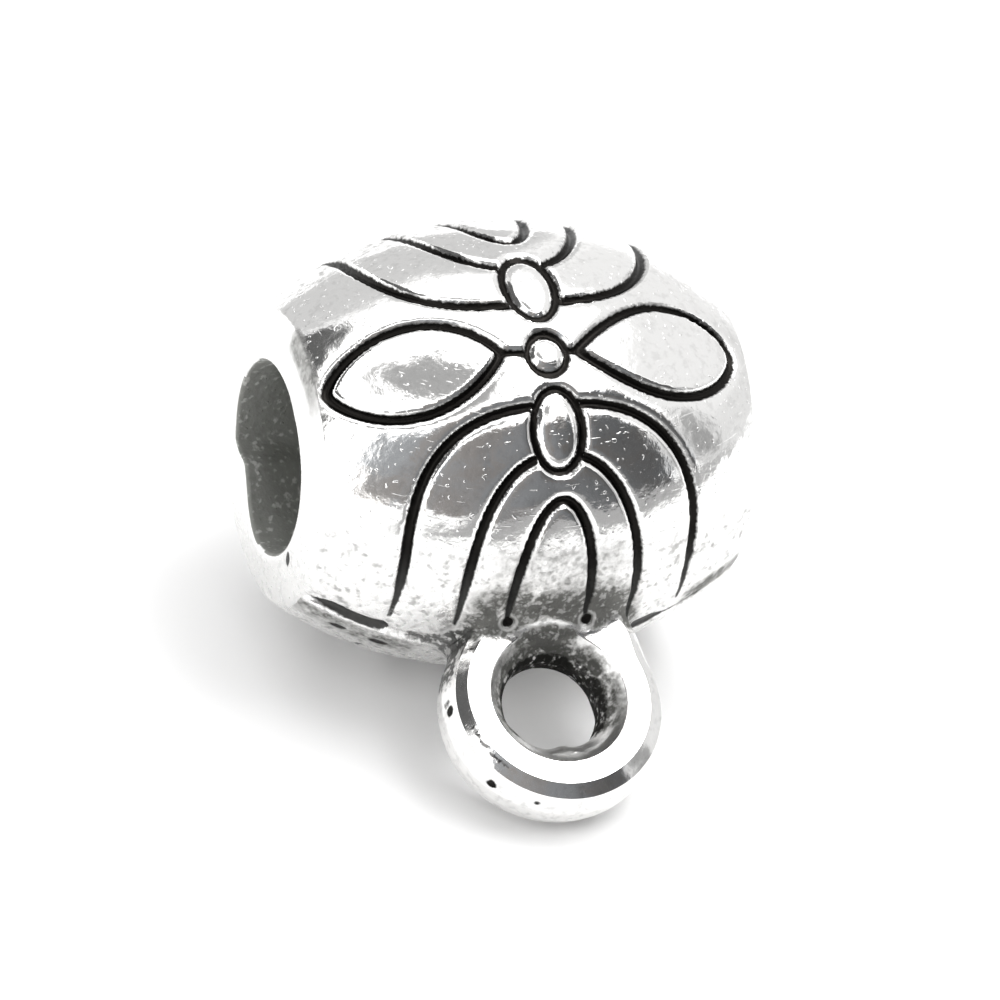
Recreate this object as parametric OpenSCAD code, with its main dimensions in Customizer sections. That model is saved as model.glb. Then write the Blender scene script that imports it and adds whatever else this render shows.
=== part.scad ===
// Barrel bail: a large-hole barrel bead with a fixed loop under it, cast in one piece.
// The design frame has the bore along X, the loop towards -Y and the decorated front towards +Z.
// The casting is then tilted about X, so that it lies on z = 0 on its belly and on the loop's lip.

/* [Barrel] */
// Diameter of the barrel at its middle
belly_d = 10.43; // [9.6:0.01:13]
// Length of the barrel from rim to rim
barrel_l = 10.64; // [9:0.01:14]
// Diameter of the rims, where the belly turns into the end faces
rim_d = 6.94; // [6.2:0.01:8.4]
// How far each end face swells out from its rim to the bore
end_rise = 0.19; // [0.05:0.01:0.5]
// Radius of the rounding on the rims
rim_round = 0.35; // [0.1:0.01:0.6]

/* [Bore] */
// Diameter of the bore that slides onto a bracelet or cord
bore_d = 4.5; // [3:0.01:5.4]
// Depth of the small bevel at the mouths of the bore
bore_bevel = 0.12; // [0.04:0.01:0.3]

/* [Loop] */
// Distance from the bore's axis to the middle of the loop
loop_reach = 6.89; // [6.4:0.01:8.5]
// Outer diameter of the loop
loop_od = 5.36; // [5:0.01:6.4]
// Thickness of the loop between its two flat faces
loop_t = 1.98; // [1.4:0.01:2.6]
// Outer diameter of the flat faces
face_od = 4.49; // [4.1:0.01:4.9]
// Inner diameter of the flat faces, at the mouth of the hole
face_id = 3.32; // [2.9:0.01:3.8]
// Diameter of the neck of the loop's hole
hole_d = 2.3; // [1.6:0.01:2.7]
// Length of the straight neck inside the loop's hole
neck_l = 0.68; // [0.3:0.01:1]
// Height of the straight band round the outside of the loop
band_l = 0.6; // [0.2:0.01:1]
// Thickness of the webs where the loop grows out of the barrel
web_t = 1.1; // [0.6:0.01:1.3]
// Radius of the hollow of those webs
web_round = 0.5; // [0.2:0.01:0.8]
// How far the webs' hollows start under the surfaces that they join
web_seat = 0.06; // [0.03:0.01:0.1]

/* [Relief] */
// Width of the grooves
groove_w = 0.26; // [0.16:0.01:0.32]
// Depth of the grooves under the skin
groove_d = 0.16; // [0.08:0.01:0.24]
// Distance of the motif from the middle of the barrel, along the bore
motif_x = -0.12; // [-0.3:0.01:0.3]
// Diameter of the round bead at the middle of the motif
bead_d = 0.76; // [0.5:0.01:0.9]
// Width of the oval beads above and below it
oval_w = 1.0; // [0.8:0.01:1.2]
// Length of the oval beads, along the girth
oval_l = 1.74; // [1.4:0.01:2]
// Distance of the oval beads from the round bead, along the girth
oval_pitch = 1.85; // [1.7:0.01:2.2]
// Width of the two petals, along the girth
petal_w = 2.6; // [2:0.01:2.9]

/* [Hidden] */
$fn = 96;
eps = 0.01;

belly_r = belly_d / 2;
rim_r = rim_d / 2;
bore_r = bore_d / 2;
half_l = barrel_l / 2;

// The belly is an arc through both rims. Its centre lies below the axis by belly_sink.
belly_sag = belly_r - rim_r;
belly_arc = (half_l ^ 2 + belly_sag ^ 2) / (2 * belly_sag);
belly_sink = belly_arc - belly_r;

// Each end face is a shallow dome, with its centre on the axis, through the rim and the bore's mouth
mouth_x = half_l + end_rise;
dome_x = (mouth_x ^ 2 + bore_r ^ 2 - half_l ^ 2 - rim_r ^ 2) / (2 * end_rise);
dome_arc = norm([mouth_x - dome_x, bore_r]);

// Each rounded edge of the loop is an arc that starts upright at a straight band and ends at a flat face
loop_r = loop_od / 2;
hole_r = hole_d / 2;
outer_in = loop_r - face_od / 2;
inner_in = face_id / 2 - hole_r;
outer_arc = edge_arc(outer_in, (loop_t - band_l) / 2);
inner_arc = edge_arc(inner_in, (loop_t - neck_l) / 2);

// Tilt at which belly and loop touch one plane: on the loop's rounding, or at its face's edge if that comes first
round_tilt = rest_tilt(loop_reach + loop_r - outer_arc, band_l / 2, outer_arc);
edge_tilt = rest_tilt(loop_reach + face_od / 2, loop_t / 2, 0);
edge_angle = atan2(outer_arc - outer_in, (loop_t - band_l) / 2);
tilt = round_tilt > edge_angle ? round_tilt : edge_tilt;

// Furthest points of the tilted casting along Y: the loop's lip in front and the belly at the back
lip_y = -(loop_reach + loop_r - outer_arc) * cos(tilt) - band_l / 2 * sin(tilt) - outer_arc;
centre_y = (lip_y + belly_r) / 2;

// Arches of the motif. Columns: half width as a share of half_l, angle of the top, foot as a share of groove_end,
// fullness of the curve
ARCHES = [
    [0.667, 14.5, 0.86, 2.85],
    [0.404, 27.3, 0.98, 2.3],
    [0.179, 39.5, 0.99, 2.0],
];
// Petals of the motif. Columns: outer tip and inner tip as shares of half_l, widest place, fullness
PETALS = [
    [-0.932, -0.212, 0.43, 1.35],
    [0.932, 0.1, 0.36, 1.7],
];
// The grooves are drawn from the mould in line with Z, so they end where their floor would turn away from it
groove_end = asin(1 - 1.2 * groove_d / skin_r(ARCHES[0][0] * half_l));

ARCH_STEPS = 6;
PETAL_STEPS = 8;
OVAL_STEPS = 14;

// Radius of an arc that starts along the axis, and moves in by a over a height of h
function edge_arc(a, h) = (a ^ 2 + h ^ 2) / (2 * a);

// Tilt at which a round edge, off from the bore's axis by reach and height, lies as low as the belly
function rest_tilt(reach, height, radius) =
    asin((belly_r - radius) / norm([reach, height])) - atan2(height, reach);

// Where two circles in a plane meet, on the left of the line from a to b
function circles_meet(a, ra, b, rb) =
    let (d = norm(b - a), u = (b - a) / d, k = (d ^ 2 + ra ^ 2 - rb ^ 2) / (2 * d), h = sqrt(ra ^ 2 - k ^ 2))
    a + k * u + h * [-u[1], u[0]];

// Radius of the skin at x, and the place in plan of a point given by x and its angle round the barrel
function skin_r(x) = sqrt(belly_arc ^ 2 - x ^ 2) - belly_sink;
function in_plan(p) = [p[0] + motif_x, -skin_r(p[0] + motif_x) * sin(p[1] * 180 / (PI * belly_r))];
function girth(angle) = angle * PI * belly_r / 180;

// Half an arch, from its top to its foot: a curve whose fullness is 2 for an ellipse and more for a squarer one
function arch_half(w, top, foot, fullness) = [
    for (i = [0 : ARCH_STEPS])
        let (t = 90 * i / ARCH_STEPS)
        [w * sin(t) ^ (2 / fullness), girth(foot) - girth(foot - top) * cos(t) ^ (2 / fullness)],
    [w, girth(groove_end)],
];
function arch_line(row) =
    let (half = arch_half(row[0] * half_l, row[1], row[2] * groove_end, row[3]), n = len(half))
    [for (i = [n - 1 : -1 : 1]) [-half[i][0], half[i][1]], for (p = half) p];

// Half width of a petal at share u of its length from the outer tip, with its widest place at share m
function petal_half(u, m, fullness) = petal_w / 2 * ((u / m) ^ m * ((1 - u) / (1 - m)) ^ (1 - m)) ^ fullness;
function petal_line(row) = [
    for (i = [0 : 2 * PETAL_STEPS - 1])
        let (t = 180 * i / PETAL_STEPS, u = (1 - cos(t)) / 2, side = (t < 180 ? 1 : -1) * sign(row[0] - row[1]))
        [half_l * (row[0] + (row[1] - row[0]) * u), side * petal_half(u, row[2], row[3])],
];
function oval_line(w, l) = [
    for (i = [0 : OVAL_STEPS - 1])
        let (t = 360 * i / OVAL_STEPS)
        [w / 2 * cos(t), l / 2 * sin(t)]
];

// The line moved sideways by d, each point along the normal of its neighbours' chord
function beside(line, d, closed) =
    let (n = len(line))
    [for (i = [0 : n - 1])
        let (before = line[closed ? (i + n - 1) % n : max(i - 1, 0)],
             after = line[closed ? (i + 1) % n : min(i + 1, n - 1)],
             along = (after - before) / norm(after - before))
        line[i] + d * [-along[1], along[0]]];

// A groove along an open line, or round a closed one, in plan
module groove(line, w = groove_w) {
    left = beside(line, w / 2, false);
    right = beside(line, -w / 2, false);
    n = len(line);
    polygon([for (p = left) in_plan(p), for (i = [n - 1 : -1 : 0]) in_plan(right[i])]);
}

module ring_groove(line, w = groove_w) {
    difference() {
        polygon([for (p = beside(line, -w / 2, true)) in_plan(p)]);
        polygon([for (p = beside(line, w / 2, true)) in_plan(p)]);
    }
}

// The grooves of one side in plan: three arches above and below, two petals with their stems, three pockets
module motif_plan() {
    for (side = [-1, 1], row = ARCHES)
        groove([for (p = arch_line(row)) [p[0], side * p[1]]]);
    for (row = PETALS) {
        ring_groove(petal_line(row));
        groove([[0, 0], [half_l * row[1] / 2, 0], [half_l * row[1], 0]], groove_w / 2);
    }
    for (side = [-1, 0, 1])
        pocket_plan(side);
}

// Outline of the pocket round the middle bead, for side 0, or round one of the oval beads
module pocket_plan(side) {
    w = side == 0 ? bead_d : oval_w;
    l = side == 0 ? bead_d : oval_l;
    polygon([for (p = oval_line(w + 2 * groove_w, l + 2 * groove_w)) in_plan(p + [0, side * oval_pitch])]);
}

// The barrel without its bore, with its belly shrunk by inset
module barrel_blank(inset = 0) {
    belly_centre = [-belly_sink, 0];
    dome_centre = [0, dome_x];
    corner = circles_meet(belly_centre, belly_arc - rim_round, dome_centre, dome_arc - rim_round);
    from_belly = (corner - belly_centre) / norm(corner - belly_centre);
    from_dome = (corner - dome_centre) / norm(corner - dome_centre);
    rotate([0, 90, 0])
        rotate_extrude()
            if (inset > 0)
                intersection() {
                    translate(belly_centre) circle(belly_arc - inset);
                    translate([0, -half_l]) square([belly_d, barrel_l]);
                }
            else {
                difference() {
                    intersection() {
                        translate(belly_centre) circle(belly_arc);
                        translate(dome_centre) circle(dome_arc);
                        translate(-dome_centre) circle(dome_arc);
                        translate([0, -barrel_l]) square([belly_d, 2 * barrel_l]);
                    }
                    for (side = [0, 1])
                        mirror([0, side])
                            polygon([
                                corner,
                                corner + 2 * rim_round * from_belly,
                                corner + 4 * rim_round * (from_belly + from_dome),
                                corner + 2 * rim_round * from_dome,
                            ]);
                }
                for (side = [-1, 1])
                    translate([corner[0], side * corner[1]]) circle(rim_round);
            }
}

// All grooves of one side, down to the groove depth
module motif_cut() {
    difference() {
        linear_extrude(height = belly_d) motif_plan();
        barrel_blank(groove_d);
    }
}

// The round bead and the two oval beads of one side. Each is a low dome that stands in its pocket.
module motif_beads() {
    bead_arc = edge_arc(groove_d, bead_d / 2);
    translate([motif_x, 0, belly_r - bead_arc])
        intersection() {
            sphere(bead_arc);
            cylinder(h = bead_arc + eps, d = bead_d);
        }
    across = edge_arc(groove_d, oval_w / 2);
    along = edge_arc(groove_d + oval_l ^ 2 / (8 * belly_r), oval_l / 2);
    for (side = [-1, 1])
        rotate([side * oval_pitch * 180 / (PI * belly_r), 0, 0])
            translate([motif_x, 0, belly_r - across])
                intersection() {
                    rotate([90, 0, 0])
                        rotate_extrude()
                            intersection() {
                                translate([across - along, 0]) circle(along);
                                translate([0, -oval_l / 2]) square([across + eps, oval_l]);
                            }
                    linear_extrude(height = across + eps) polygon(oval_line(oval_w, oval_l));
                }
}

// Half section of the loop, across from its axis to its outside
module loop_section() {
    difference() {
        union() {
            translate([hole_r, -loop_t / 2]) square([face_od / 2 - hole_r, loop_t]);
            translate([hole_r, -band_l / 2]) square([loop_r - hole_r, band_l]);
            for (side = [-1, 1])
                intersection() {
                    translate([loop_r - outer_arc, side * band_l / 2]) circle(outer_arc);
                    translate([hole_r, -loop_t / 2]) square([loop_r - hole_r, loop_t]);
                }
        }
        for (side = [0, 1])
            mirror([0, side])
                difference() {
                    translate([0, neck_l / 2]) square([face_id / 2, loop_t]);
                    translate([hole_r + inner_arc, neck_l / 2]) circle(inner_arc);
                }
    }
}

// The two hollow webs that join the outside of the loop to the belly, both met a little under their surface
module loop_webs() {
    loop_at = [0, -loop_reach];
    belly_at = [0, belly_sink];
    loop_fit = loop_r - web_seat;
    belly_fit = belly_arc - web_seat;
    hollow = circles_meet(belly_at, belly_fit + web_round, loop_at, loop_fit + web_round);
    on_loop = loop_at + (hollow - loop_at) * loop_fit / (loop_fit + web_round);
    on_belly = belly_at + (hollow - belly_at) * belly_fit / (belly_fit + web_round);
    for (side = [0, 1])
        translate([0, 0, -web_t / 2])
            linear_extrude(height = web_t)
                mirror([side, 0])
                    difference() {
                        polygon([on_loop, hollow, on_belly, on_belly * 0.9, [on_loop[0] / 2, on_loop[1]]]);
                        translate(hollow) circle(web_round);
                    }
}

module loop() {
    translate([0, -loop_reach, 0])
        rotate_extrude()
            loop_section();
    loop_webs();
}

module bore_cut() {
    rotate([0, 90, 0]) {
        translate([0, 0, -barrel_l]) cylinder(h = 2 * barrel_l, r = bore_r);
        for (side = [0, 1])
            mirror([0, 0, side])
                translate([0, 0, mouth_x - bore_bevel])
                    cylinder(h = 2 * bore_bevel, r1 = bore_r, r2 = bore_r + 2 * bore_bevel);
    }
}

// What one half of the mould casts of the barrel: the half over the parting plane, with its motif
module barrel_half() {
    difference() {
        intersection() {
            barrel_blank();
            translate([-barrel_l, -belly_d, 0]) cube([2 * barrel_l, 2 * belly_d, belly_d]);
        }
        motif_cut();
    }
    motif_beads();
}

// Both halves and the loop as one casting, with the bore and the loop's hole kept clear
module casting() {
    difference() {
        union() {
            for (side = [0, 1])
                mirror([0, 0, side]) barrel_half();
            loop();
        }
        bore_cut();
        translate([0, -loop_reach, -loop_t])
            cylinder(h = 2 * loop_t, r = hole_r);
    }
}

module bail_casting() {
    color("silver")
        translate([0, -centre_y, belly_r])
            rotate([tilt, 0, 0])
                casting();
}

bail_casting();
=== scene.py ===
# %% [markdown]
# A barrel bail in antique silver
#
# A bail like this slides onto a bracelet and carries a charm on its loop. It is cast in zinc alloy in a
# mould of two halves, plated with silver, blackened and then polished, so that the black stays only where
# the polish can't reach. The lesson builds it as one skin worked out with numpy. It then gives that skin
# one finish, and lights it in a white tent, because polished metal shows little but what stands round it.

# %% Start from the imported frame
import math
from types import SimpleNamespace

import bpy
import numpy as np
from mathutils import Matrix


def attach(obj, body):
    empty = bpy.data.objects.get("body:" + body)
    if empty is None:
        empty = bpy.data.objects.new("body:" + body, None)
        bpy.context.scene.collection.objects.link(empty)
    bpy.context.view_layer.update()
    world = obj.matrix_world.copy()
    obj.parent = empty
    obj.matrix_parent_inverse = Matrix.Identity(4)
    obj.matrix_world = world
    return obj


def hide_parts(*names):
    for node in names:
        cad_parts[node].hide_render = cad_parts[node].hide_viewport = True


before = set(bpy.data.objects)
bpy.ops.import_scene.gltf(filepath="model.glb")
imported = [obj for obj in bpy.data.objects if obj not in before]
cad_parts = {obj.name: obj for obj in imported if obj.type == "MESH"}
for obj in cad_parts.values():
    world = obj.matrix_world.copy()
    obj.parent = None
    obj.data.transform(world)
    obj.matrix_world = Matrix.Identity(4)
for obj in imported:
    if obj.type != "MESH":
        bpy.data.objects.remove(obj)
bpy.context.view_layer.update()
scene = bpy.context.scene
MM = 0.001

# %% [markdown]
# The frame of the work
#
# The casting is easiest to think of with its bore along X, the loop on the side of -V and the decorated
# front on +N. It lies tilted on the table, on its belly and on the lip of the loop. So everything is
# shaped in millimetres in that upright frame, and turned and moved to the table at the end. The sizes
# below are those of the CAD part, but for a tighter rounding of the rim.

# %% Sizes in millimetres and degrees
BELLY_R = 5.215
RIM_R = 3.47
HALF_L = 5.32
END_RISE = 0.19
RIM_ROUND = 0.2
BORE_R = 2.25
BORE_BEVEL = 0.12
TILT = math.radians(28.3877)
AXIS_Y = 1.7194

sag = BELLY_R - RIM_R
BELLY_ARC = (HALF_L**2 + sag**2) / (2 * sag)
BELLY_SINK = BELLY_ARC - BELLY_R
MOUTH_X = HALF_L + END_RISE
DOME_X = (MOUTH_X**2 + BORE_R**2 - HALF_L**2 - RIM_R**2) / (2 * END_RISE)
DOME_ARC = math.hypot(MOUTH_X - DOME_X, BORE_R)


def to_table(points):
    """Turns upright points (x, v, n) by the tilt about X, and puts the bore's axis in its place."""
    x, v, n = points[:, 0], points[:, 1], points[:, 2]
    y = v * math.cos(TILT) - n * math.sin(TILT) + AXIS_Y
    z = v * math.sin(TILT) + n * math.cos(TILT) + BELLY_R
    return np.stack([x, y, z], axis=1)


print(f"belly arc {BELLY_ARC:.3f}, end dome arc {DOME_ARC:.3f}")

# %% [markdown]
# The camera
#
# The photograph was taken with a long lens from the left and above. Its place comes from fitting the
# outline of the barrel, the bore's mouth and the loop: the direction towards the camera in the upright
# frame, the turn of the camera about its own axis, the distance, and how far it stands beside the line
# through the barrel's centre.

# %% Camera at the photograph's viewing angle
TURN = math.radians(-19.513)
DIP = math.radians(22.917)
ROLL = math.radians(-3.899)
CAMERA_DISTANCE = 566.63
CAMERA_BESIDE = np.array([0.2264, -1.35])
# focal length and width of the picture in pixels, and width of the sensor in mm
FOCAL_PIXELS = 24362
FRAME_PIXELS = 1000
SENSOR = 36


def camera_axes():
    """Right, up and back directions of the camera in the upright frame."""
    back = np.array([math.sin(TURN), -math.cos(TURN) * math.sin(DIP), math.cos(TURN) * math.cos(DIP)])
    right = np.cross([0, math.cos(DIP), math.sin(DIP)], back)
    right /= np.linalg.norm(right)
    up = np.cross(back, right)
    c, s = math.cos(ROLL), math.sin(ROLL)
    return c * right + s * up, -s * right + c * up, back


def add_camera():
    right, up, back = camera_axes()
    place = CAMERA_DISTANCE * back + CAMERA_BESIDE[0] * right + CAMERA_BESIDE[1] * up
    origin = to_table(np.zeros((1, 3)))[0]
    axes = to_table(np.stack([right, up, back])) - origin
    camera = bpy.data.objects.new("camera", bpy.data.cameras.new("camera"))
    scene.collection.objects.link(camera)
    matrix = np.eye(4)
    matrix[:3, :3] = axes.T
    matrix[:3, 3] = to_table(place[None])[0] * MM
    camera.matrix_world = Matrix(matrix.tolist())
    camera.data.sensor_width = SENSOR
    camera.data.lens = FOCAL_PIXELS / FRAME_PIXELS * SENSOR
    scene.camera = camera
    return camera


camera = add_camera()
print("camera at", [round(c, 4) for c in camera.matrix_world.translation], "lens", round(camera.data.lens, 1))

# %% [markdown]
# Small tools for surfaces
#
# Every surface here is a grid of points. A grid that closes on itself both ways has no edge and no pole,
# like the skin of a ring, and both the barrel with its bore and the loop with its hole are such skins.
# Real castings are never quite even, so a soft noise on a lattice gives them gentle lumps.


# %% Grids, noise and smooth steps
def ring_mesh(name, grid):
    """Mesh object in millimetres from a grid of points that closes on itself along rows and columns."""
    rows, columns = grid.shape[:2]
    index = np.arange(rows * columns).reshape(rows, columns)
    right, down = np.roll(index, -1, axis=1), np.roll(index, -1, axis=0)
    both = np.roll(down, -1, axis=1)
    faces = np.stack([index, right, both, down], axis=-1).reshape(-1, 4)
    points = grid.reshape(-1, 3)
    corners = points[faces]
    volume = np.einsum("ij,ij->i", corners[:, 0], np.cross(corners[:, 1], corners[:, 2])).sum()
    volume += np.einsum("ij,ij->i", corners[:, 0], np.cross(corners[:, 2], corners[:, 3])).sum()
    if volume < 0:
        faces = faces[:, ::-1]
    mesh = bpy.data.meshes.new(name)
    mesh.from_pydata(points, [], faces)
    made = bpy.data.objects.new(name, mesh)
    scene.collection.objects.link(made)
    return made


def smooth_step(value, low, high):
    """0 below low, 1 above high, and 3t^2 - 2t^3 between them."""
    t = np.clip((value - low) / (high - low), 0, 1)
    return t * t * (3 - 2 * t)


def lumps(points, size, seed):
    """Soft noise from -1 to 1: random values on a lattice of this size, blended with smooth steps."""
    lattice = np.random.default_rng(seed).uniform(-1, 1, (32, 32, 32))
    scaled = points / size + 100
    cell = np.floor(scaled).astype(int)
    t = scaled - cell
    t = t * t * (3 - 2 * t)
    total = 0
    for corner in np.ndindex(2, 2, 2):
        at = (cell + corner) % 32
        weight = np.prod(np.where(np.array(corner) == 1, t, 1 - t), axis=-1)
        total = total + weight * lattice[at[..., 0], at[..., 1], at[..., 2]]
    return total


print("noise test:", lumps(np.zeros((1, 3)), 1.0, 1).round(3))

# %% [markdown]
# The lines of the relief
#
# The pattern is drawn on the unrolled skin, by the place x along the bore and the turn in degrees from
# the middle of the front. Three arches stand above and below, two petals lie left and right, and a round
# bead sits in the middle between two oval ones. An arch is half of a superellipse with straight legs. A
# petal is a curve that rises from one tip and falls to the other, with its widest place off the middle.
# The back of the mould repeats the front.

# %% Lines of the relief on the unrolled skin
MIDDLE_X = -0.12
GROOVE_W = 0.27
GROOVE_D = 0.17
STEM_W = 0.2
# turn at which the legs of the arches have run out, and how much sooner they do on the back
LEG_END = 82.0
BACK_SOONER = 10
# turns between which a leg of the back ends altogether
BACK_END = (68, 74)
# distance given to points with no groove near them
FAR_OFF = 3.0
# x of the middle, half width, turns of the top, the foot and the end, fullness, lean of the lower arch
ARCHES = [
    (0.0, 3.55, 14.5, 63.0, 83.0, 2.85, 0.1),
    (0.0, 2.12, 27.3, 72.0, 80.0, 2.3, 0.1),
    (0.08, 0.96, 39.5, 72.0, 75.0, 2.0, 0.0),
]
# x of the outer tip, x of the inner tip, share of the length where it is widest, fullness, turns of both tips
PETALS = [(-5.0, -1.13, 0.43, 1.5, 1.0, -0.6), (4.96, 0.7, 0.36, 1.6, -1.2, 0.3)]
PETAL_W = 2.6
# x and turn of the middle, half width and length of the silver, the same of the pocket, flatness on top
BEADS = [
    (-0.02, 0.8, 0.39, 0.4, 0.57, 0.64, 2.0),
    (0.0, -20.3, 0.5, 0.87, 0.72, 1.1, 3.2),
    (0.0, 21.2, 0.5, 0.87, 0.72, 1.1, 3.4),
]

DEGREES_PER_MM = math.degrees(1 / BELLY_R)


def arch_line(middle, half_width, top, foot, end, fullness, lean):
    """x = w sin(t)^(2/p), turn = foot - (foot - top) cos(t)^(2/p) for half an arch, then a straight leg."""
    t = np.linspace(0, 1, 40) ** 1.6 * math.pi / 2
    x = half_width * np.sin(t) ** (2 / fullness)
    turn = foot - (foot - top) * np.abs(np.cos(t)) ** (2 / fullness)
    x, turn = np.append(x, half_width), np.append(turn, end)
    x, turn = np.append(-x[:0:-1], x), np.append(turn[:0:-1], turn)
    return np.stack([middle + x + lean * smooth_step(turn, top, foot), turn], axis=1)


def petal_half(u, widest, fullness):
    """Half width in mm at the share u of the length: W/2 ((u/m)^m ((1-u)/(1-m))^(1-m))^k."""
    return PETAL_W / 2 * ((u / widest) ** widest * ((1 - u) / (1 - widest)) ** (1 - widest)) ** fullness


def petal_line(outer, inner, widest, fullness, outer_turn, inner_turn):
    """Outline of a petal, there on one side and back on the other."""
    u = (1 - np.cos(np.linspace(0, math.pi, 50))) / 2
    x, half = outer + (inner - outer) * u, petal_half(u, widest, fullness) * DEGREES_PER_MM
    middle = outer_turn + (inner_turn - outer_turn) * u
    return np.stack([np.append(x, x[-2::-1]), np.append(middle + half, (middle - half)[-2::-1])], axis=1)


def relief_lines():
    """All grooves as (line, width), with x from the middle of the relief."""
    lines = []
    for row in ARCHES:
        lines += [(arch_line(*row), GROOVE_W), (arch_line(*row[:6], 0) * [1, -1], GROOVE_W)]
    for row in PETALS:
        lines += [(petal_line(*row), GROOVE_W), (np.array([[row[1], row[5]], BEADS[0][:2]]), STEM_W)]
    return lines


LINES = relief_lines()
print(len(LINES), "grooves with", sum(len(line) for line, _ in LINES), "points")

# %% [markdown]
# The height of the skin
#
# A groove has steep walls, a round floor and shoulders that the polish has softened. The height of the
# skin therefore depends on one number: how far a point is from the edge of the nearest groove. That
# number is kept, because the black finish follows it too. The beads rise from their pockets as steep
# domes, and the petals swell a little.


# %% Distance to the grooves and height of the skin
def distance_to(line, x, turn, skin):
    """Shortest way in mm from each point to a line, where turning is measured on the skin at that point."""
    ax, ay = line[:-1, 0] - x[:, None], np.radians(line[:-1, 1] - turn[:, None]) * skin[:, None]
    bx, by = line[1:, 0] - x[:, None], np.radians(line[1:, 1] - turn[:, None]) * skin[:, None]
    dx, dy = bx - ax, by - ay
    share = np.clip(-(ax * dx + ay * dy) / np.maximum(dx * dx + dy * dy, 1e-12), 0, 1)
    return np.hypot(ax + share * dx, ay + share * dy).min(axis=1)


def skin_place(points):
    """Foot of each point along the belly's arc, its turn from the front, and the radius of the skin there."""
    x, v, n = points[:, 0], points[:, 1], points[:, 2]
    radius = np.hypot(v, n)
    along = np.arctan2(x, radius + BELLY_SINK)
    foot = BELLY_ARC * np.sin(along)
    return foot, np.degrees(np.arctan2(-v, n)), BELLY_ARC * np.cos(along) - BELLY_SINK


def fold(turn):
    """The turn on the front of the mould that a turn on the back repeats."""
    return np.where(np.abs(turn) > 90, np.sign(turn) * (180 - np.abs(turn)), turn)


SHOULDER = 0.022
SHOULDER_REACH = 0.09
PETAL_SWELL = 0.08
BEAD_TOP = 0.02


def relief(x, turn, skin):
    """Height over the skin in mm, and the distance from the nearest groove's edge, negative inside it."""
    behind = np.abs(turn) > 90
    x, turn = x - MIDDLE_X, fold(turn)
    fade = smooth_step(np.abs(turn) + BACK_SOONER * behind, 60, LEG_END)
    edge = np.full(len(x), FAR_OFF)
    for line, width in LINES:
        near = (x > line[:, 0].min() - 1) & (x < line[:, 0].max() + 1)
        near &= (turn > line[:, 1].min() - 12) & (turn < line[:, 1].max() + 12)
        away = distance_to(line, x[near], turn[near], skin[near])
        edge[near] = np.minimum(edge[near], away - width / 2 * (1 - 0.55 * fade[near]))
    edge = edge + 0.3 * behind * smooth_step(np.abs(turn), *BACK_END)
    inside = np.clip(-edge / (0.38 * GROOVE_W), 0, 1)
    depth = GROOVE_D * (1 - 0.75 * fade)
    height = -SHOULDER * np.exp(-np.maximum(edge, 0) / SHOULDER_REACH)
    height -= (depth - SHOULDER) * (1 - (1 - inside) ** 2)
    for row in PETALS:
        height += PETAL_SWELL * petal_inside(row, x, turn)
    for bead in BEADS:
        height, edge = with_bead(bead, x, turn, skin, height, edge)
    return height, edge


def petal_inside(row, x, turn):
    """0 outside the petal's outline, rising inside it as 1 - exp(-distance / 0.4)."""
    outer, inner, widest, fullness, outer_turn, inner_turn = row
    u = np.clip((x - outer) / (inner - outer), 1e-6, 1 - 1e-6)
    half = petal_half(u, widest, fullness)
    middle = outer_turn + (inner_turn - outer_turn) * u
    room = np.maximum(half - np.abs(np.radians(turn - middle)) * BELLY_R, 0)
    along = np.maximum(0, np.minimum(x - min(outer, inner), max(outer, inner) - x))
    return (1 - np.exp(-room / 0.4)) * (1 - np.exp(-along / 0.5))


def with_bead(bead, x, turn, skin, height, edge):
    """A pocket cut to the groove's depth with a dome in it, each an ellipse on the skin."""
    middle_x, middle, half_w, half_l, pocket_w, pocket_l, flatness = bead
    across, along = x - middle_x, np.radians(turn - middle) * skin
    in_pocket = np.hypot(across / pocket_w, along / pocket_l)
    in_bead = np.hypot(across / half_w, along / half_l)
    size_pocket = (in_pocket - 1) * np.hypot(across, along) / np.maximum(in_pocket, 1e-6)
    size_bead = (in_bead - 1) * np.hypot(across, along) / np.maximum(in_bead, 1e-6)
    wall = np.clip(-size_pocket / 0.08, 0, 1)
    pocket = -SHOULDER * np.exp(-np.maximum(size_pocket, 0) / SHOULDER_REACH)
    pocket -= (GROOVE_D - SHOULDER) * (1 - (1 - wall) ** 2)
    dome = -GROOVE_D + (GROOVE_D + BEAD_TOP) * np.clip(1 - 0.85 * in_bead**flatness, 0, 1) ** 0.5
    cut = np.minimum(height, pocket)
    height = np.where(size_pocket < 0, np.where(in_bead < 1.05, np.maximum(pocket, dome), pocket), cut)
    groove = np.maximum(size_pocket, -size_bead)
    edge = np.where(size_pocket < 0, groove, np.minimum(edge, size_pocket))
    return height, edge


test_x, test_turn = np.array([0.0, MIDDLE_X, 3.43]), np.array([0.0, 20.3, 50.0])
print("heights:", relief(test_x, test_turn, np.full(3, BELLY_R)))

# %% [markdown]
# The seam of the mould
#
# The two halves of the mould meet at a right angle to the front, through the loop. On this casting the
# back half sits a little proud, so a step runs along the seam, with a dark crevice beside it towards each
# end. A tongue of metal has run between the mould and the pin that kept the bore open, and stands into
# the left mouth.


# %% Seam and burr
CREVICE_W = 0.36
CREVICE_D = 0.12
# radius of the skin at the crevices
CREVICE_R = 4.4
LIP = 0.06
LEDGE = 0.02
BURR = 0.6


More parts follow.
